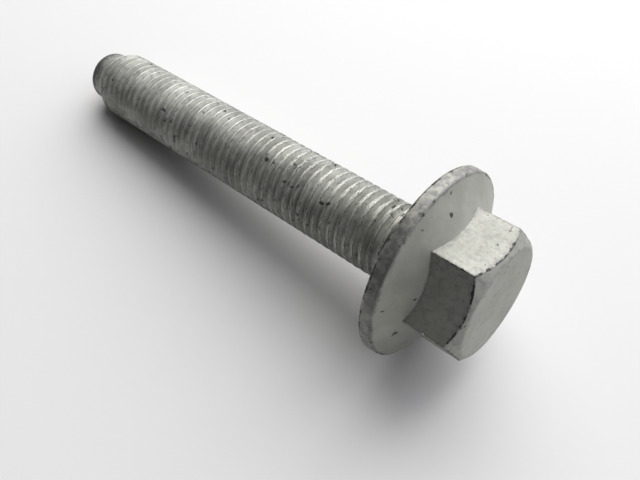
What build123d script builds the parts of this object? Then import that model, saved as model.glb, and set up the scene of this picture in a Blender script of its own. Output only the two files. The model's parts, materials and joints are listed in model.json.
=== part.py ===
from build123d import *
import math
import os

# Hex flange bolt, M12 x 1.5, 75 mm long under the head. Lengths are in millimetres.
# The bolt's axis is X, with the head towards +X. The origin is the middle of the bearing face.
# The real bolt is one forging, so its zones meet face to face and none of them moves.

# hex drive
across_flats = 18.0
across_corners = across_flats / math.cos(math.radians(30))
head_height = 11.9
top_disc_d = 16.7
chamfer_start = 10.4  # where the head's chamfer meets a corner of the hex
hex_turn = -5.2  # degrees from +Y to the nearest corner

# flange, whose upper side is a slightly hollow cone that runs up into the hex
flange_d = 29.2
rim_height = 2.0
rim_draft = 0.2  # the rim's upper edge is this much further in than its lower edge
rim_edge = 0.45  # rounding of both edges of the rim
cone_at_corner = 4.1  # height at which the cone meets a corner of the hex
cone_top = 5.5
cone_top_d = 17.0

# neck between the thread and the bearing face, and the core that goes on up to the hex
neck_d = 12.0
neck_length = 4.0
underhead_fillet = 0.8
core_d = neck_d + 2 * underhead_fillet

# rolled right-hand thread, M12 x 1.5 with 6g tolerance
thread_major_d = 11.9
thread_pitch_d = 10.96
thread_minor_d = 10.1
thread_pitch = 1.5
flank_angle = 60.0
runout = 1.4  # length over which the groove rises out of the shank at the neck
ridge_sunk = 0.08  # how far the ridge's foot is sunk in the core before they are joined
ridge_parts = 4  # the ridge is swept in equal parts, which follow one another
ridge_turn = 239.0  # degrees about the axis at which the ridge starts

# lead-in cone and pilot point
bolt_length = 75.0
lead_in_start = 68.6
pilot_start = 71.3
lead_in_end_d = 9.4
pilot_d = 9.14
pilot_round = 1.1  # rounding of the pilot point's shoulder
pilot_shoulder = 74.3  # where that rounding ends and the shallow dome starts


def revolved(*outline):
    """A solid turned about the X axis from the edges of a closed outline in (x, radius)."""
    return revolve(make_face(Wire(outline)), axis=Axis.X)


def lines(*points):
    """Straight edges from each (x, radius) point to the next."""
    return [Line(start, end) for start, end in zip(points, points[1:])]


def flange_solid():
    rim_low = (0, flange_d / 2)
    rim_high = (rim_height, flange_d / 2 - rim_draft)
    cone_end = (cone_top, cone_top_d / 2)
    bore_high = (cone_top, core_d / 2)
    bore_low = (0, core_d / 2)
    ring = revolved(
        *lines(rim_low, rim_high),
        ThreePointArc(rim_high, (cone_at_corner, across_corners / 2), cone_end),
        *lines(cone_end, bore_high, bore_low, rim_low),
    )
    rim = ring.edges().filter_by(lambda edge: edge.bounding_box().max.Y > rim_high[1] - 0.01)
    rim_circles = rim.filter_by(GeomType.CIRCLE)
    return fillet(rim_circles, rim_edge)


def hex_solid(flange):
    outline = Plane.YZ.offset(cone_at_corner - 1) * RegularPolygon(
        across_flats / 2, 6, major_radius=False, rotation=hex_turn
    )
    prism = extrude(outline, head_height - cone_at_corner + 1)
    slope = (head_height - chamfer_start) / (across_corners - top_disc_d) * 2
    wide_r = across_corners / 2 + 1
    disc_edge = (head_height, top_disc_d / 2)
    chamfer_low = (head_height - slope * (wide_r - top_disc_d / 2), wide_r)
    chamfered = revolved(*lines((0, 0), (0, wide_r), chamfer_low, disc_edge, (head_height, 0), (0, 0)))
    core = Pos(cone_top / 2, 0, 0) * Rot(0, 90, 0) * Cylinder(core_d / 2, cone_top)
    return (prism & chamfered) - flange - core


def neck_solid():
    neck_r = neck_d / 2
    bend = underhead_fillet * (1 - math.sqrt(0.5))
    fillet_start = (-underhead_fillet, neck_r)
    fillet_end = (0, core_d / 2)
    return revolved(
        *lines((-neck_length, 0), (-neck_length, neck_r), fillet_start),
        ThreePointArc(fillet_start, (-bend, neck_r + bend), fillet_end),
        *lines(fillet_end, (cone_top, core_d / 2), (cone_top, 0), (-neck_length, 0)),
    )


def ridge_part(start, turns):
    """A stretch of the thread's ridge: a 60 degree trapezium swept along a helix."""
    foot_r = thread_minor_d / 2 - ridge_sunk
    crest_r = thread_major_d / 2
    flank = math.tan(math.radians(flank_angle / 2))
    half_foot = thread_pitch / 4 + (thread_pitch_d / 2 - foot_r) * flank
    half_crest = thread_pitch / 4 - (crest_r - thread_pitch_d / 2) * flank
    height = crest_r - foot_r
    path = Rot(ridge_turn, 0, 0) * Pos(start, 0, 0) * Rot(0, 90, 0) * Helix(
        thread_pitch, turns * thread_pitch, foot_r
    )
    foot = path @ 0
    outward = Vector(0, foot.Y, foot.Z).normalized()
    section_plane = Plane(foot, x_dir=(1, 0, 0), z_dir=Vector(1, 0, 0).cross(outward))
    trapezium = Polyline(
        (-half_foot, 0), (half_foot, 0), (half_crest, height), (-half_crest, height), close=True
    )
    return sweep(section_plane * make_face(trapezium), path, is_frenet=True)


def shank_solid():
    minor_r = thread_minor_d / 2
    major_r = thread_major_d / 2
    part_turns = math.ceil((pilot_start - neck_length) / thread_pitch / ridge_parts)
    part_length = part_turns * thread_pitch
    start = -neck_length + thread_pitch - ridge_parts * part_length
    ridges = [ridge_part(start + i * part_length, part_turns) for i in range(ridge_parts)]
    core_start = start - 2 * thread_pitch
    core_end = thread_pitch - neck_length / 2
    core_middle = (core_start + core_end) / 2
    core = Pos(core_middle, 0, 0) * Rot(0, 90, 0) * Cylinder(minor_r, core_end - core_start)
    lead_in = (-pilot_start, lead_in_end_d / 2), (-lead_in_start, major_r)
    clear_of_crests = (-lead_in_start + 1, major_r + 0.5), (-neck_length, major_r + 0.5)
    envelope = revolved(
        *lines((-pilot_start, 0), *lead_in, *clear_of_crests, (-neck_length, 0), (-pilot_start, 0))
    )
    runout_start = -neck_length - runout
    runout_cone = revolved(
        *lines(
            (runout_start, 0),
            (runout_start, minor_r - 0.1),
            (-neck_length, major_r),
            (-neck_length, 0),
            (runout_start, 0),
        )
    )
    return (core.fuse(*ridges) & envelope).fuse(runout_cone)


def pilot_solid():
    pilot_r = pilot_d / 2
    round_start = (-pilot_shoulder + pilot_round, pilot_r)
    round_end = (-pilot_shoulder, pilot_r - pilot_round)
    bend = pilot_round * (1 - math.sqrt(0.5))
    round_middle = (-pilot_shoulder + bend, pilot_r - bend)
    dome_depth = bolt_length - pilot_shoulder
    dome_r = (round_end[1] ** 2 + dome_depth**2) / (2 * dome_depth)
    middle_r = round_end[1] / 2
    dome_middle = (-bolt_length + dome_r - math.sqrt(dome_r**2 - middle_r**2), middle_r)
    return revolved(
        *lines((-pilot_start, 0), (-pilot_start, pilot_r), round_start),
        ThreePointArc(round_start, round_middle, round_end),
        ThreePointArc(round_end, dome_middle, (-bolt_length, 0)),
        *lines((-bolt_length, 0), (-pilot_start, 0)),
    )


def main():
    os.makedirs("parts", exist_ok=True)
    flange = flange_solid()
    zones = {
        "hex_head": hex_solid(flange),
        "flange": flange,
        "neck": neck_solid(),
        "threaded_shank": shank_solid(),
        "pilot_point": pilot_solid(),
    }
    for name, solid in zones.items():
        export_step(solid, f"parts/{name}.step")


main()
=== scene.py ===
import json
import math
import bmesh
import bpy
from mathutils import Matrix, Vector, noise


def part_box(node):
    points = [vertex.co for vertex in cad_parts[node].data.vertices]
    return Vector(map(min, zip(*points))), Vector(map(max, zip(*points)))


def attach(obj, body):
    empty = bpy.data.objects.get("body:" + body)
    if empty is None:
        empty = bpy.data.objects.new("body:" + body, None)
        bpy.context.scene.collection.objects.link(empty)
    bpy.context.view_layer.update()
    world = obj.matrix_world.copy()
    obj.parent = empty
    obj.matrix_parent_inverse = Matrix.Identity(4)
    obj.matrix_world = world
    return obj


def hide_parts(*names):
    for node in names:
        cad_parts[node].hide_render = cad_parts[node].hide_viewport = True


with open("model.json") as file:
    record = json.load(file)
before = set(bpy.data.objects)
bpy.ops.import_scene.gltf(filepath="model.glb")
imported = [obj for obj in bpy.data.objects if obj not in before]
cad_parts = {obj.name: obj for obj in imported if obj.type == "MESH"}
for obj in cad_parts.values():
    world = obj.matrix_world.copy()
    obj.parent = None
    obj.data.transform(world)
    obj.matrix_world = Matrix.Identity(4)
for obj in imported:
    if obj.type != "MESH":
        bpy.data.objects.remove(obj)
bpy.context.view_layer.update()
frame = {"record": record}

# sizes are in mm and turn to metres when a mesh is finished
mm = 0.001
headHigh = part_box("hex_head")[1] / mm
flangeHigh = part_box("flange")[1] / mm
neckLow, neckHigh = [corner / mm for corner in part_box("neck")]
shankLow, shankHigh = [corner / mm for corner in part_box("threaded_shank")]
pilotLow, pilotHigh = [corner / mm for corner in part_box("pilot_point")]
mountRadius = {mount["name"]: mount["dims"].get("r_mm") for mount in frame["record"]["mounts"]}
weld = 0.0005  # points closer than this are made one
inset = 0.02  # uneven faces are drawn in by this, to stay inside the CAD solid
print("frame loaded, head top at", round(headHigh.x, 2), "mm")


def smoothStep(low, high, value):
    t = min(max((value - low) / (high - low), 0.0), 1.0)
    return t * t * (3 - 2 * t)


def near(distance, reach):
    # 1 on an edge, falling off over about that reach
    return math.exp(-abs(distance) / reach)


def lumps(point, size, seed=0.0):
    # Perlin noise in -1..1, with lumps of that size in mm
    return noise.noise(Vector(point) / size + Vector((seed, seed * 1.7, seed * 0.6)))


def arcPoints(before, corner, after, radius, count):
    # points of the arc that rounds a corner of an outline, tangent to both sides
    toBefore = (Vector(before) - Vector(corner)).normalized()
    toAfter = (Vector(after) - Vector(corner)).normalized()
    half = toBefore.angle(toAfter) / 2
    setback = radius / math.tan(half)
    centre = Vector(corner) + (toBefore + toAfter).normalized() * radius / math.sin(half)
    start = Vector(corner) + toBefore * setback - centre
    end = Vector(corner) + toAfter * setback - centre
    turnSign = 1 if start.cross(end) > 0 else -1
    turns = [turnSign * start.angle(end) * i / count for i in range(count + 1)]
    return [centre + Matrix.Rotation(turn, 2) @ start for turn in turns]


def linePoints(start, end, count):
    # evenly spaced points after start and before end
    return [Vector(start).lerp(Vector(end), i / (count + 1)) for i in range(1, count + 1)]


def rowsOf(points, wear=0.0, grime=0.0):
    return [(point[0], point[1], wear, grime) for point in points]


def finishMesh(name, bm, settings):
    bmesh.ops.remove_doubles(bm, verts=bm.verts, dist=weld)
    bmesh.ops.dissolve_degenerate(bm, edges=bm.edges, dist=weld)
    bmesh.ops.recalc_face_normals(bm, faces=bm.faces)
    bmesh.ops.scale(bm, vec=(mm, mm, mm), verts=bm.verts)
    mesh = bpy.data.meshes.new(name)
    bm.to_mesh(mesh)
    bm.free()
    mesh.shade_smooth()
    mesh.materials.append(zincFlake(name + "ZincFlake", settings))
    piece = bpy.data.objects.new(name, mesh)
    bpy.context.collection.objects.link(piece)
    print(name, len(mesh.polygons), "faces")
    return piece


def turnedPiece(name, settings, outlineAt, shape, warp=None):
    # an outline is spun about the bolt's axis, then every point takes the outline's place at its
    # own turn, so that a hex can be turned too; outlineAt gives (x, radius, wear, dirt and painted shade)
    # rows
    bm = bmesh.new()
    wearLayer = bm.verts.layers.float.new("edgeWear")
    shadeAndGrimeLayer = bm.verts.layers.float.new("grime")
    rowCount = len(outlineAt(0.0))
    verts = [bm.verts.new((row, 1, 0)) for row in range(rowCount)]
    edges = [bm.edges.new(pair) for pair in zip(verts, verts[1:])]
    bmesh.ops.spin(
        bm, geom=verts + edges, cent=(0, 0, 0), axis=(1, 0, 0), dvec=(0, 0, 0),
        angle=2 * math.pi, steps=settings["columns"], use_merge=True, use_duplicate=False,
    )
    outlines = {}
    for vert in bm.verts:
        turn = math.atan2(vert.co.z, vert.co.y)
        key = round(turn, 5)
        if key not in outlines:
            placed = warp(turn) if warp else turn
            outlines[key] = placed, outlineAt(placed)
        placed, outline = outlines[key]
        x, radius, vert[wearLayer], vert[shadeAndGrimeLayer] = outline[round(vert.co.x)]
        point = Vector((x, radius * math.cos(placed), radius * math.sin(placed)))
        vert.co = shape(point, radius, vert[wearLayer]) if radius > 0.01 else point
    return finishMesh(name, bm, settings)


def linear(hexColour):
    values = []
    for i in (1, 3, 5):
        c = int(hexColour[i:i + 2], 16) / 255
        values.append(c / 12.92 if c <= 0.04045 else ((c + 0.055) / 1.055) ** 2.4)
    return (*values, 1.0)


def perMetre(sizeInMm):
    # a texture's scale for features of that size
    return 1 / (sizeInMm * mm)


def addNode(tree, kind, settings, inputs):
    # inputs holds a socket to plug in, or a value, for each named or numbered input
    node = tree.nodes.new("ShaderNode" + kind)
    for key, value in settings.items():
        setattr(node, key, value)
    for key, value in inputs.items():
        if isinstance(value, bpy.types.NodeSocket):
            tree.links.new(value, node.inputs[key])
        else:
            node.inputs[key].default_value = value
    return node.outputs


coating = {
    "cloud": "#999A92",  # thinner coating
    "worn": "#777577",  # burnished through by tools and other bolts
    "glint": "#D0D0CA",  # painted highlight on freshly bared edges
    # dark colour for dirt, and for painted shade in creases and under the flange
    "dirt": "#2B2A2B",
    "scratch": "#5C5B58",
    "roughness": 0.52,
    "roughnessDown": 0.06,  # how far the grain takes the roughness down and up
    "roughnessUp": 0.08,
    "glintRoughness": 0.34,
    "metallic": 0.6,
    "glintMetallic": 0.85,
    "cloudSize": 4.0,
    "grainSize": 0.3,  # far coarser than the real flakes, so that it shows
    "wearSize": 0.9,
    "smearSize": 1.26,
    "speckSize": 1.3,
    "strokeSize": 0.45,  # wider than real scratches, so that they show
    "strokeTurn": (0.6, 0.4, 0.9),
    "strokeStretch": (1.0, 0.16, 1.0),
    "wearPull": 0.5,  # how much edge wear adds to the noise
    "grimePull": 0.4,
    "cloudMost": 0.7,
    "dirtMost": 0.85,
    "wornSpread": 0.3,  # a low spread gives a patch a hard edge
    "glintSpread": 0.1,
    "dirtSpread": 0.12,
    "speckSpread": 0.09,
    "scratchSpread": 0.05,
    "bumpDepth": 0.03,
}


def zincFlake(name, settings):
    # zinc-flake coating, dipped and baked: matt silver-grey with a faint grain, which wears to purplish
    # steel with painted highlights on edges, holds dirt in its pits and takes painted shade in creases and
    # under the flange
    material = bpy.data.materials.new(name)
    material.use_nodes = True
    tree = material.node_tree
    tree.nodes.clear()
    rgba = {"data_type": "RGBA"}
    soft = {"interpolation_type": "SMOOTHSTEP"}
    addUp = {"operation": "MULTIPLY_ADD"}
    place = addNode(tree, "TexCoord", {}, {})["Object"]
    wear = addNode(tree, "Attribute", {"attribute_name": "edgeWear"}, {})["Fac"]
    grime = addNode(tree, "Attribute", {"attribute_name": "grime"}, {})["Fac"]

    cloud = addNode(tree, "TexNoise", {}, {
        "Vector": place, "Scale": perMetre(coating["cloudSize"]), "Detail": 3.0,
    })["Fac"]
    clouded = addNode(tree, "MapRange", soft, {
        "Value": cloud, "From Min": 0.35, "From Max": 0.65, "To Max": coating["cloudMost"],
    })["Result"]
    grain = addNode(tree, "TexNoise", {}, {
        "Vector": place, "Scale": perMetre(coating["grainSize"]), "Detail": 2.0,
    })["Fac"]
    colour = addNode(tree, "Mix", rgba, {
        0: clouded, 6: linear(settings["coat"]), 7: linear(coating["cloud"]),
    })[2]

    # the coating is worn through where noise and edge wear add up
    breakUp = addNode(tree, "TexNoise", {}, {
        "Vector": place, "Scale": perMetre(coating["wearSize"]), "Detail": 4.0, "Roughness": 0.6,
    })["Fac"]
    wornSum = addNode(tree, "Math", addUp, {0: wear, 1: coating["wearPull"], 2: breakUp})["Value"]
    worn = addNode(tree, "MapRange", soft, {
        "Value": wornSum, "From Min": settings["wornFrom"],
        "From Max": settings["wornFrom"] + coating["wornSpread"], "To Max": settings["wornMost"],
    })["Result"]
    colour = addNode(tree, "Mix", rgba, {0: worn, 6: colour, 7: linear(coating["worn"])})[2]

    # painted highlights: bared edges are drawn bright, and smoother and more metallic
    fine = addNode(tree, "TexNoise", {}, {
        "Vector": place, "Scale": perMetre(coating["wearSize"] / 2), "Detail": 3.0, "Roughness": 0.6,
    })["Fac"]
    glintSum = addNode(tree, "Math", addUp, {0: wear, 1: coating["wearPull"], 2: fine})["Value"]
    glint = addNode(tree, "MapRange", soft, {
        "Value": glintSum, "From Min": settings["glintFrom"],
        "From Max": settings["glintFrom"] + coating["glintSpread"],
    })["Result"]
    colour = addNode(tree, "Mix", rgba, {0: glint, 6: colour, 7: linear(coating["glint"])})[2]

    # dirt gathers along edges, and painted shade lies in creases and under the flange, in the places that
    # the attribute marks
    smear = addNode(tree, "TexNoise", {}, {
        "Vector": place, "Scale": perMetre(coating["smearSize"]), "Detail": 5.0, "Roughness": 0.65,
    })["Fac"]
    dirtAndShadeSum = addNode(tree, "Math", addUp, {0: grime, 1: coating["grimePull"], 2: smear})["Value"]
    dirtyAndShaded = addNode(tree, "MapRange", soft, {
        "Value": dirtAndShadeSum, "From Min": settings["dirtFrom"],
        "From Max": settings["dirtFrom"] + coating["dirtSpread"], "To Max": coating["dirtMost"],
    })["Result"]
    colour = addNode(tree, "Mix", rgba, {0: dirtyAndShaded, 6: colour, 7: linear(coating["dirt"])})[2]

    specks = addNode(tree, "TexNoise", {}, {
        "Vector": place, "Scale": perMetre(coating["speckSize"]), "Detail": 1.0,
    })["Fac"]
    speckled = addNode(tree, "MapRange", soft, {
        "Value": specks, "From Min": settings["speckFrom"],
        "From Max": settings["speckFrom"] + coating["speckSpread"], "To Max": coating["dirtMost"],
    })["Result"]
    colour = addNode(tree, "Mix", rgba, {0: speckled, 6: colour, 7: linear(coating["dirt"])})[2]

    # short slanting scratches
    slanted = addNode(tree, "Mapping", {}, {
        "Vector": place, "Rotation": coating["strokeTurn"], "Scale": coating["strokeStretch"],
    })["Vector"]
    strokes = addNode(tree, "TexNoise", {}, {
        "Vector": slanted, "Scale": perMetre(coating["strokeSize"]), "Detail": 1.0, "Distortion": 1.2,
    })["Fac"]
    scratched = addNode(tree, "MapRange", soft, {
        "Value": strokes, "From Min": settings["scratchFrom"],
        "From Max": settings["scratchFrom"] + coating["scratchSpread"],
    })["Result"]
    colour = addNode(tree, "Mix", rgba, {0: scratched, 6: colour, 7: linear(coating["scratch"])})[2]

    matt = addNode(tree, "MapRange", soft, {
        "Value": grain, "From Min": 0.2, "From Max": 0.8,
        "To Min": coating["roughness"] - coating["roughnessDown"],
        "To Max": coating["roughness"] + coating["roughnessUp"],
    })["Result"]
    roughness = addNode(tree, "Mix", {}, {0: glint, 2: matt, 3: coating["glintRoughness"]})[0]
    metallic = addNode(tree, "Mix", {}, {
        0: glint, 2: coating["metallic"], 3: coating["glintMetallic"],
    })[0]
    height = addNode(tree, "Math", addUp, {0: breakUp, 1: 1.5, 2: grain})["Value"]
    bump = addNode(tree, "Bump", {}, {
        "Strength": settings["bump"], "Distance": coating["bumpDepth"] * mm, "Height": height,
    })["Normal"]
    shader = addNode(tree, "BsdfPrincipled", {}, {
        "Base Color": colour, "Roughness": roughness, "Metallic": metallic, "Normal": bump,
    })["BSDF"]
    addNode(tree, "OutputMaterial", {}, {"Surface": shader})
    return material


flange = {
    "rimHeight": 2.0,
    "rimDraft": 0.2,
    "coneAtCorner": 4.1,
    "coneTopRadius": 8.5,
    "rimLowRound": 0.5,
    "rimHighRound": 0.3,
    "dent": 0.07,  # depth of the knocks along the rim
    "dentLength": 1.6,
    "chip": 0.03,
    "chipLength": 0.7,
    "wave": 0.05,
    "waveLength": 2.6,
    "uneven": 0.02,
    "unevenLength": 5.0,
    "columns": 320,
    "coneRows": 40,
    "edgeReach": 0.35,  # how far the rim's wear spreads onto the cone
    "coat": "#A6A79F",
    "wornFrom": 0.72,
    "wornMost": 0.72,
    "glintFrom": 1.13,
    "dirtFrom": 0.74,
    "speckFrom": 0.72,
    "scratchFrom": 0.78,
    "bump": 0.4,
}
hexHead = {
    "acrossFlats": 18.0,
    "cornerTurn": -5.2,  # degrees from +Y to a corner
    "discRadius": 8.35,
    "chamferStart": 10.4,  # height where the chamfer meets a corner
    "cornerRound": 0.25,
    "discRound": 0.9,
    "chamferRound": 0.22,
    "footRound": 0.35,
    "uneven": 0.03,
    "unevenLength": 4.0,
    "grain": 0.012,
    "grainLength": 1.1,
    "knock": 0.07,
    "knockLength": 0.9,
    "columns": 300,
    "coat": "#A5A69F",
    "wornFrom": 0.55,
    "wornMost": 0.42,
    "glintFrom": 0.96,
    "dirtFrom": 0.82,
    "speckFrom": 0.74,
    "scratchFrom": 0.72,
    "bump": 0.45,
}
cornerRadius = hexHead["acrossFlats"] / math.sqrt(3)
rimRadius = flangeHigh.y + 0.05  # before the rim's edges are rounded
chamferSlope = (headHigh.x - hexHead["chamferStart"]) / (cornerRadius - hexHead["discRadius"])


def coneCircle():
    # the circle through the flange cone's three outline points
    low = Vector((flange["rimHeight"], rimRadius - flange["rimDraft"]))
    middle = Vector((flange["coneAtCorner"], cornerRadius))
    high = Vector((flangeHigh.x, flange["coneTopRadius"]))
    first, second = middle - low, high - low
    twiceArea = 2 * first.cross(second)
    across = Vector((second.y, -second.x)) * first.length_squared
    across += Vector((-first.y, first.x)) * second.length_squared
    centre = low + across / twiceArea
    return centre, (low - centre).length


coneCentre, coneArc = coneCircle()


def coneHeight(radius):
    # height of the flange's upper side at that radius
    return coneCentre.x - math.sqrt(coneArc**2 - (radius - coneCentre.y) ** 2)


def flangeOutline(turn):
    rimLow = (0.0, rimRadius)
    rimHigh = (flange["rimHeight"], rimRadius - flange["rimDraft"])
    boreLow = (0.0, neckHigh.y)
    coneIn = (coneHeight(rimHigh[1] - 1.0), rimHigh[1] - 1.0)
    lowArc = arcPoints(boreLow, rimLow, rimHigh, flange["rimLowRound"], 6)
    highArc = arcPoints(rimLow, rimHigh, coneIn, flange["rimHighRound"], 6)
    rows = rowsOf([boreLow] + linePoints(boreLow, lowArc[0], 12))
    # painted shade along the rim's lower edge by the floor, and some dirt on the rest of the rim
    rows += rowsOf(lowArc[:-1], 0.3, 0.75)
    rows += rowsOf(linePoints(lowArc[-2], highArc[0], 8), 0.8, 0.3)
    rows += rowsOf(highArc, 1.0, 0.45)
    outer, inner = highArc[-1].y, flange["coneTopRadius"]
    for i in range(1, flange["coneRows"] + 1):
        radius = outer + (inner - outer) * i / flange["coneRows"]
        edge = near(outer - radius, flange["edgeReach"])
        rows.append((coneHeight(radius), radius, edge, 0.6 * edge))
    return rows + rowsOf([(coneHeight(inner), neckHigh.y), boreLow])


def flangeShape(point, radius, wear):
    # the rim is knocked about, while the cone is only slightly uneven
    rim = smoothStep(flangeHigh.y - 0.9, flangeHigh.y - 0.3, radius) * smoothStep(0.0, 0.1, point.x)
    upper = smoothStep(0.6, 1.6, point.x)
    outward = Vector((0.25 * upper, point.y / radius, point.z / radius)).normalized()
    knock = smoothStep(0.05, 0.6, lumps(point, flange["dentLength"], 21.0)) * flange["dent"]
    chip = smoothStep(0.2, 0.6, lumps(point, flange["chipLength"], 31.0)) * flange["chip"]
    stretched = (point.x * 0.35, point.y, point.z)
    wave = flange["wave"] * abs(lumps(stretched, flange["waveLength"], 11.0))
    soft = flange["uneven"] * lumps(point, flange["unevenLength"], 17.0) * upper * (1 - rim)
    return point - outward * (wave + knock + chip) * rim + Vector((soft, 0, 0))


def fromCorner(turn):
    # radians from the nearest corner of the hex
    offset = (turn - math.radians(hexHead["cornerTurn"])) % (math.pi / 3)
    return min(offset, math.pi / 3 - offset)


def hexRadius(turn):
    # distance from the axis to the hex's side, with rounded corners
    flatRadius, rounding = hexHead["acrossFlats"] / 2, hexHead["cornerRound"]
    arcCentre = (flatRadius - rounding) / math.cos(math.pi / 6)
    arcEnd = math.atan2(rounding * 0.5, arcCentre + rounding * math.cos(math.pi / 6))
    if fromCorner(turn) > arcEnd:
        return flatRadius / math.cos(math.pi / 6 - fromCorner(turn))
    across = arcCentre * math.sin(fromCorner(turn))
    return arcCentre * math.cos(fromCorner(turn)) + math.sqrt(rounding**2 - across**2)


def crowdCorners(turn):
    # brings more of the spun columns to the corners
    return turn - 0.8 / 6 * math.sin(6 * (turn - math.radians(hexHead["cornerTurn"])))


def headOutline(turn):
    side, top = hexRadius(turn), headHigh.x
    foot = coneHeight(side)
    discEdge = (top, hexHead["discRadius"])
    sideTop = (top - chamferSlope * (side - hexHead["discRadius"]), side)
    sideFoot = (foot, side)
    discArc = arcPoints((top, 0.0), discEdge, sideTop, hexHead["discRound"], 6)
    sideArc = arcPoints(discEdge, sideTop, sideFoot, hexHead["chamferRound"], 4)
    coneOut = (coneHeight(side + 0.6), side + 0.6)
    footArc = arcPoints(sideTop, sideFoot, coneOut, hexHead["footRound"], 5)
    corner = near(fromCorner(turn) * side, 0.3)
    rows = rowsOf([(top, 0.0)] + linePoints((top, 0.0), discArc[0], 9))
    rows += rowsOf(discArc, 0.25, 0.1)
    rows += rowsOf(linePoints(discArc[-1], sideArc[0], 5), max(0.2, 0.7 * corner), 0.3)
    rows += rowsOf(sideArc, 0.7, 1.0)
    for point in linePoints(sideArc[-1], footArc[0], 20):
        edge = near(point.x - sideArc[-1].x, 0.35)
        rows.append((point.x, point.y, max(0.25, edge, corner), 0.9 * max(edge, corner)))
    rows += rowsOf(footArc, 0.55, 0.1)
    sunk = (footArc[-1].x - 0.03, footArc[-1].y)
    return rows + rowsOf([sunk, (foot - 0.8, side - 0.8), (foot - 0.8, 0.0)])


def headShape(point, radius, wear):
    # slightly uneven, as forged, with small knocks along the edges
    forged = hexHead["uneven"] * lumps(point, hexHead["unevenLength"], 3.0)
    forged += hexHead["grain"] * lumps(point, hexHead["grainLength"], 5.0) - inset
    knock = smoothStep(0.15, 0.6, lumps(point, hexHead["knockLength"], 8.0)) * hexHead["knock"] * wear
    outward = Vector((point.x - 6.5, point.y, point.z)).normalized()
    return point + outward * (forged - knock)


neck = {
    "footFillet": 0.8,
    "endRound": 0.25,
    "uneven": 0.015,
    "unevenLength": 2.2,
    "columns": 120,
    # darker than the other pieces' coats: painted shade under the flange
    "coat": "#6E6F6A",
    "wornFrom": 0.5,
    "wornMost": 0.4,
    "glintFrom": 1.1,
    "dirtFrom": 0.66,
    "speckFrom": 0.75,
    "scratchFrom": 0.8,
    "bump": 0.3,
}


def neckOutline(turn):
    radius, start, fillet = mountRadius["shank_neck"], neckLow.x, neck["footFillet"]
    endArc = arcPoints((start, 0.0), (start, radius), (0.0, radius), neck["endRound"], 4)
    footArc = arcPoints((start, radius), (0.0, radius), (0.0, radius + fillet), fillet, 6)
    # the side and the fillet under the flange get painted shade
    rows = rowsOf([(start, 0.0), (start, radius - 1.2)])
    rows += rowsOf(endArc, 0.3)
    rows += rowsOf(linePoints(endArc[-1], footArc[0], 10), 0.2, 0.35)
    return rows + rowsOf(footArc, 0.0, 0.6) + rowsOf([(0.4, radius + fillet), (0.4, 0.0)])


def neckShape(point, radius, wear):
    uneven = neck["uneven"] * lumps(point, neck["unevenLength"], 7.0)
    return point + Vector((0, point.y, point.z)) * uneven / radius


thread = {
    "pitch": 1.5,
    "rootAt": 0.63,  # x of a root on the +Y side, give or take whole pitches
    "crestRadius": 5.95,
    "rootRadius": 5.16,
    "lipAt": 0.2,  # from the crest's middle to each rolled lip
    "lipSlope": 0.06,  # from a lip out to the flank's top
    "lipRound": 0.035,
    "seamDepth": 0.12,
    "edgeRound": 0.07,  # size of the soft edges at the crest and the root
    "leadInStart": -68.6,
    "leadInRadius": 4.65,
    "burnished": (-56, -24),  # x over which the lips go from coated to bare, and their painted highlights and the painted shade in the seams come in
    "runout": 1.4,
    "underHead": 0.75,  # painted shade of the flange on the last turns
    "uneven": 0.02,
    "unevenLength": 5.0,
    "rolled": 0.018,
    "rolledLength": 1.3,
    "knock": 0.08,
    "knockLength": 0.8,
    "stepsPerTurn": 72,
    "coat": "#C4C5BE",
    "wornFrom": 0.5,
    "wornMost": 0.75,
    "glintFrom": 0.95,
    "dirtFrom": 0.84,
    "speckFrom": 0.68,
    "scratchFrom": 0.8,
    "bump": 0.3,
}


def threadOutline():
    # one pitch from root to root; the rolled crest has two lips with a seam between them, painted dark as
    # shade in the crease
    crest, root, lip = thread["crestRadius"], thread["rootRadius"], thread["lipAt"]
    halfPitch, soft = thread["pitch"] / 2, thread["edgeRound"]
    shoulder, lipRound = lip + thread["lipSlope"], thread["lipRound"]
    flankHigh, flankLow = crest - soft, root + soft
    flankFoot = shoulder + (flankHigh - flankLow) * math.tan(math.radians(30))
    half = rowsOf([(halfPitch, root), (halfPitch - soft, root), (flankFoot + 0.04, root + 0.02)])
    half += rowsOf([(flankFoot, flankLow)] + linePoints((flankFoot, flankLow), (shoulder, flankHigh), 3))
    half += rowsOf([(shoulder, flankHigh)], 0.4)
    half += rowsOf([(shoulder - lipRound, crest - 0.02), (lip, crest), (lip - lipRound, crest - 0.01)], 1.0)
    half += rowsOf([(lip - 0.08, crest - 0.6 * thread["seamDepth"])], 0.0, 0.4)
    half += rowsOf([(0.0, crest - thread["seamDepth"])], 0.0, 1.0)
    return [(-x, radius, wear, dirt) for x, radius, wear, dirt in half] + half[-2::-1]


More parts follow.
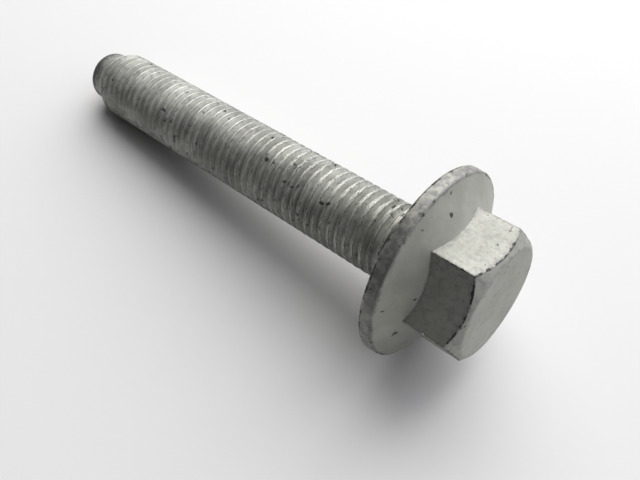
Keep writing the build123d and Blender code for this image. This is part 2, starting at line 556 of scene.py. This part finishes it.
def threadedShank():
    pitch, steps = thread["pitch"], thread["stepsPerTurn"]
    bm = bmesh.new()
    wearLayer = bm.verts.layers.float.new("edgeWear")
    shadeAndGrimeLayer = bm.verts.layers.float.new("grime")
    # the first turn starts about a turn beyond the shank's end, and is copied pitch by pitch
    skipped = math.ceil((thread["rootAt"] - shankLow.x) / pitch) + 1
    start = thread["rootAt"] + pitch / 2 - skipped * pitch
    verts = []
    for x, radius, wear, dirt in threadOutline():
        vert = bm.verts.new((start + x, radius, 0))
        vert[wearLayer], vert[shadeAndGrimeLayer] = wear, dirt
        verts.append(vert)
    edges = [bm.edges.new(pair) for pair in zip(verts, verts[1:])]
    bmesh.ops.spin(
        bm, geom=verts + edges, cent=(0, 0, 0), axis=(1, 0, 0), dvec=(pitch / steps, 0, 0),
        angle=2 * math.pi, steps=steps, use_merge=False, use_duplicate=False,
    )
    oneTurn = bm.verts[:] + bm.edges[:] + bm.faces[:]
    for turn in range(1, math.ceil((shankHigh.x - start) / pitch) + 1):
        copied = bmesh.ops.duplicate(bm, geom=oneTurn)["geom"]
        copiedVerts = [item for item in copied if isinstance(item, bmesh.types.BMVert)]
        bmesh.ops.translate(bm, verts=copiedVerts, vec=(turn * pitch, 0, 0))
    bmesh.ops.remove_doubles(bm, verts=bm.verts, dist=4 * weld)
    # cut square at the lead-in's end and just inside the neck
    for x, side in ((shankLow.x, -1), (shankHigh.x + 0.25, 1)):
        cut = bmesh.ops.bisect_plane(
            bm, geom=bm.verts[:] + bm.edges[:] + bm.faces[:], plane_co=(x, 0, 0),
            plane_no=(side, 0, 0), clear_outer=True, dist=weld / 5,
        )
        rim = [edge for edge in cut["geom_cut"] if isinstance(edge, bmesh.types.BMEdge)]
        bmesh.ops.holes_fill(bm, edges=rim, sides=0)
    # the lead-in cone cuts the crests down, and at the neck the groove rises out of the shank
    crest, leadStart = thread["crestRadius"], thread["leadInStart"]
    for vert in bm.verts:
        x, radius = vert.co.x, math.hypot(vert.co.y, vert.co.z)
        taper = max((leadStart - x) / (leadStart - shankLow.x), 0.0)
        limit = crest - taper * (crest - thread["leadInRadius"])
        fade = smoothStep(shankHigh.x - thread["runout"], shankHigh.x + 0.1, x)
        # towards the head the lips are more worn and carry painted highlights, and the seams carry more
        # painted shade
        baredAndHighlit = smoothStep(*thread["burnished"], x)
        vert[wearLayer] *= (1 - fade) * (0.5 + 0.5 * baredAndHighlit)
        # the last turns under the flange get painted shade
        underHead = thread["underHead"] * smoothStep(shankHigh.x - 4.5, shankHigh.x, x)
        vert[shadeAndGrimeLayer] = max(vert[shadeAndGrimeLayer] * (0.3 + 0.7 * baredAndHighlit), underHead)
        rolled = thread["rolled"] * lumps(vert.co, thread["rolledLength"], 2.0)
        rolled += thread["uneven"] * lumps(vert.co, thread["unevenLength"], 4.0) - inset
        knock = smoothStep(0.35, 0.7, lumps(vert.co, thread["knockLength"], 9.0))
        knock *= thread["knock"] * vert[wearLayer]
        placed = min(radius + fade * (crest - radius), limit) + rolled - knock
        vert.co.yz = vert.co.yz * placed / radius
    return finishMesh("threadedShank", bm, thread)


pilot = {
    "shoulder": -74.3,
    "shoulderRound": 1.1,
    "rough": 0.03,
    "roughLength": 1.6,
    "grain": 0.012,
    "grainLength": 0.5,
    "domeRows": 6,
    "columns": 120,
    "coat": "#B4B5AE",
    "wornFrom": 0.55,
    "wornMost": 0.9,
    "glintFrom": 1.3,
    "dirtFrom": 0.8,
    "speckFrom": 0.72,
    "scratchFrom": 0.8,
    "bump": 0.3,
}


def pilotOutline(turn):
    radius, shoulder, start = mountRadius["pilot"], pilot["shoulder"], pilotHigh.x + 0.3
    rounded = arcPoints((start, radius), (shoulder, radius), (shoulder, 0.0), pilot["shoulderRound"], 8)
    rows = rowsOf([(start, 0.0), (start, radius - 1), (start, radius)])
    for point in linePoints((start, radius), rounded[0], 8):
        rows.append((point.x, point.y, near(point.x - rounded[0].x, 0.7), 0.0))
    # the rounded end and the dome are drawn darker than the cylinder
    rows += rowsOf(rounded, 0.9, 0.6)
    depth = pilotLow.x - shoulder
    for i in range(1, pilot["domeRows"] + 1):
        outward = 1 - i / pilot["domeRows"]
        rows.append((shoulder + depth * (1 - outward**2), rounded[-1].y * outward, 0.3, 0.4))
    return rows


def pilotShape(point, radius, wear):
    rough = pilot["rough"] * lumps(point, pilot["roughLength"], 6.0)
    rough += pilot["grain"] * lumps(point, pilot["grainLength"], 1.0) - inset
    return point + Vector((0, point.y, point.z)) * rough / max(radius, 2.0)


pieces = {
    "hex_head": turnedPiece("hexHead", hexHead, headOutline, headShape, crowdCorners),
    "flange": turnedPiece("flangeRing", flange, flangeOutline, flangeShape),
    "neck": turnedPiece("plainNeck", neck, neckOutline, neckShape),
    "threaded_shank": threadedShank(),
    "pilot_point": turnedPiece("pilotEnd", pilot, pilotOutline, pilotShape),
}
for node, piece in pieces.items():
    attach(piece, "root")
    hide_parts(node)
print("bolt made")

studio = {
    "floorSize": 3000,
    "floorColour": "#DDDDDC",
    "floorRoughness": 0.7,
    "floorGap": 0.02,  # between the floor and the flange's rim
    "rimRest": 0.3,  # x of the point of the rim that the bolt lies on
    "keyFrom": (0.0, 0.62, 0.78),  # direction of the large softbox
    "keyOver": (-110, 0, 0),  # the point that it faces, past the bolt's end
    "keyDistance": 430,
    "keySize": 560,
    "keyPower": 2.25,
    "keyColour": "#FFFDFA",
    "skyFrom": (0.45, 0.7, 0.5),  # brightest direction of the room
    "skyDark": 0.02,
    "skyBright": 1.85,
    "skyColour": "#F1F1F6",
    "skyBand": (0.2, 0.95),  # cosines over which the room goes from dark to bright
    "backdrop": 0.85,
}


def mattBoard():
    # white painted board, matt, so that the eye gets only soft shadows and no reflection
    material = bpy.data.materials.new("mattBoard")
    material.use_nodes = True
    tree = material.node_tree
    tree.nodes.clear()
    shader = addNode(tree, "BsdfPrincipled", {}, {
        "Base Color": linear(studio["floorColour"]), "Roughness": studio["floorRoughness"],
    })["BSDF"]
    addNode(tree, "OutputMaterial", {}, {"Surface": shader})
    return material


def layFloor():
    # the bolt lies on its flange's rim and on its pilot point, so the floor slopes under its axis
    rim = Vector((studio["rimRest"], -flangeHigh.y))
    tip = Vector((pilot["shoulder"] + pilot["shoulderRound"], -mountRadius["pilot"]))
    slope = math.atan2(tip.y - rim.y, rim.x - tip.x)
    bm = bmesh.new()
    bmesh.ops.create_grid(bm, x_segments=1, y_segments=1, size=studio["floorSize"] / 2 * mm)
    bmesh.ops.rotate(bm, verts=bm.verts, cent=(0, 0, 0), matrix=Matrix.Rotation(slope, 3, "Y"))
    bmesh.ops.translate(bm, verts=bm.verts, vec=Vector((rim.x, 0, rim.y - studio["floorGap"])) * mm)
    mesh = bpy.data.meshes.new("floor")
    bm.to_mesh(mesh)
    bm.free()
    mesh.materials.append(mattBoard())
    floor = bpy.data.objects.new("floor", mesh)
    bpy.context.collection.objects.link(floor)


def hangSoftbox():
    lamp = bpy.data.lights.new("softbox", "AREA")
    lamp.shape = "SQUARE"
    lamp.size = studio["keySize"] * mm
    lamp.energy = studio["keyPower"]
    lamp.color = linear(studio["keyColour"])[:3]
    light = bpy.data.objects.new("softbox", lamp)
    away = Vector(studio["keyFrom"]).normalized()
    light.location = (Vector(studio["keyOver"]) + away * studio["keyDistance"]) * mm
    light.rotation_euler = away.to_track_quat("Z", "Y").to_euler()
    bpy.context.collection.objects.link(light)


def lightRoom():
    # the room is bright on the softbox's side and dark on the other
    world = bpy.data.worlds.new("room")
    bpy.context.scene.world = world
    world.use_nodes = True
    sky = world.node_tree
    sky.nodes.clear()
    direction = addNode(sky, "TexCoord", {}, {})["Generated"]
    towardsSky = addNode(sky, "VectorMath", {"operation": "DOT_PRODUCT"}, {
        0: direction, 1: Vector(studio["skyFrom"]).normalized(),
    })["Value"]
    glow = addNode(sky, "MapRange", {"interpolation_type": "SMOOTHSTEP"}, {
        "Value": towardsSky, "From Min": studio["skyBand"][0], "From Max": studio["skyBand"][1],
        "To Min": studio["skyDark"], "To Max": studio["skyBright"],
    })["Result"]
    # past the floor's edge the backdrop is simply pale
    seen = addNode(sky, "LightPath", {}, {})["Is Camera Ray"]
    strength = addNode(sky, "Mix", {}, {0: seen, 2: glow, 3: studio["backdrop"]})[0]
    shine = addNode(sky, "Background", {}, {
        "Color": linear(studio["skyColour"]), "Strength": strength,
    })["Background"]
    addNode(sky, "OutputWorld", {}, {"Surface": shine})


layFloor()
hangSoftbox()
lightRoom()

shot = {
    "aim": (-18.996, -1.840, -7.909),
    "azimuth": 48.886,
    "elevation": 50.221,
    "distance": 106.145,
    "roll": -9.104,
    "lens": 36.94,
    "clipStart": 5,
    "clipEnd": 20000,
    "gamma": 0.88,  # a little more contrast, as a camera gives
}


def placeCamera():
    cameraData = bpy.data.cameras.new("camera")
    cameraData.lens = shot["lens"]
    cameraData.clip_start = shot["clipStart"] * mm
    cameraData.clip_end = shot["clipEnd"] * mm
    camera = bpy.data.objects.new("camera", cameraData)
    bpy.context.collection.objects.link(camera)
    azimuth, elevation = math.radians(shot["azimuth"]), math.radians(shot["elevation"])
    level = math.cos(elevation)
    back = Vector((math.sin(azimuth) * level, -math.cos(azimuth) * level, math.sin(elevation)))
    camera.location = (Vector(shot["aim"]) + back * shot["distance"]) * mm
    upright = (-back).to_track_quat("-Z", "Y").to_matrix()
    camera.rotation_euler = (upright @ Matrix.Rotation(math.radians(shot["roll"]), 3, "Z")).to_euler()
    bpy.context.scene.camera = camera


placeCamera()
bpy.context.scene.view_settings.view_transform = "Standard"
bpy.context.scene.view_settings.gamma = shot["gamma"]
print("studio ready")
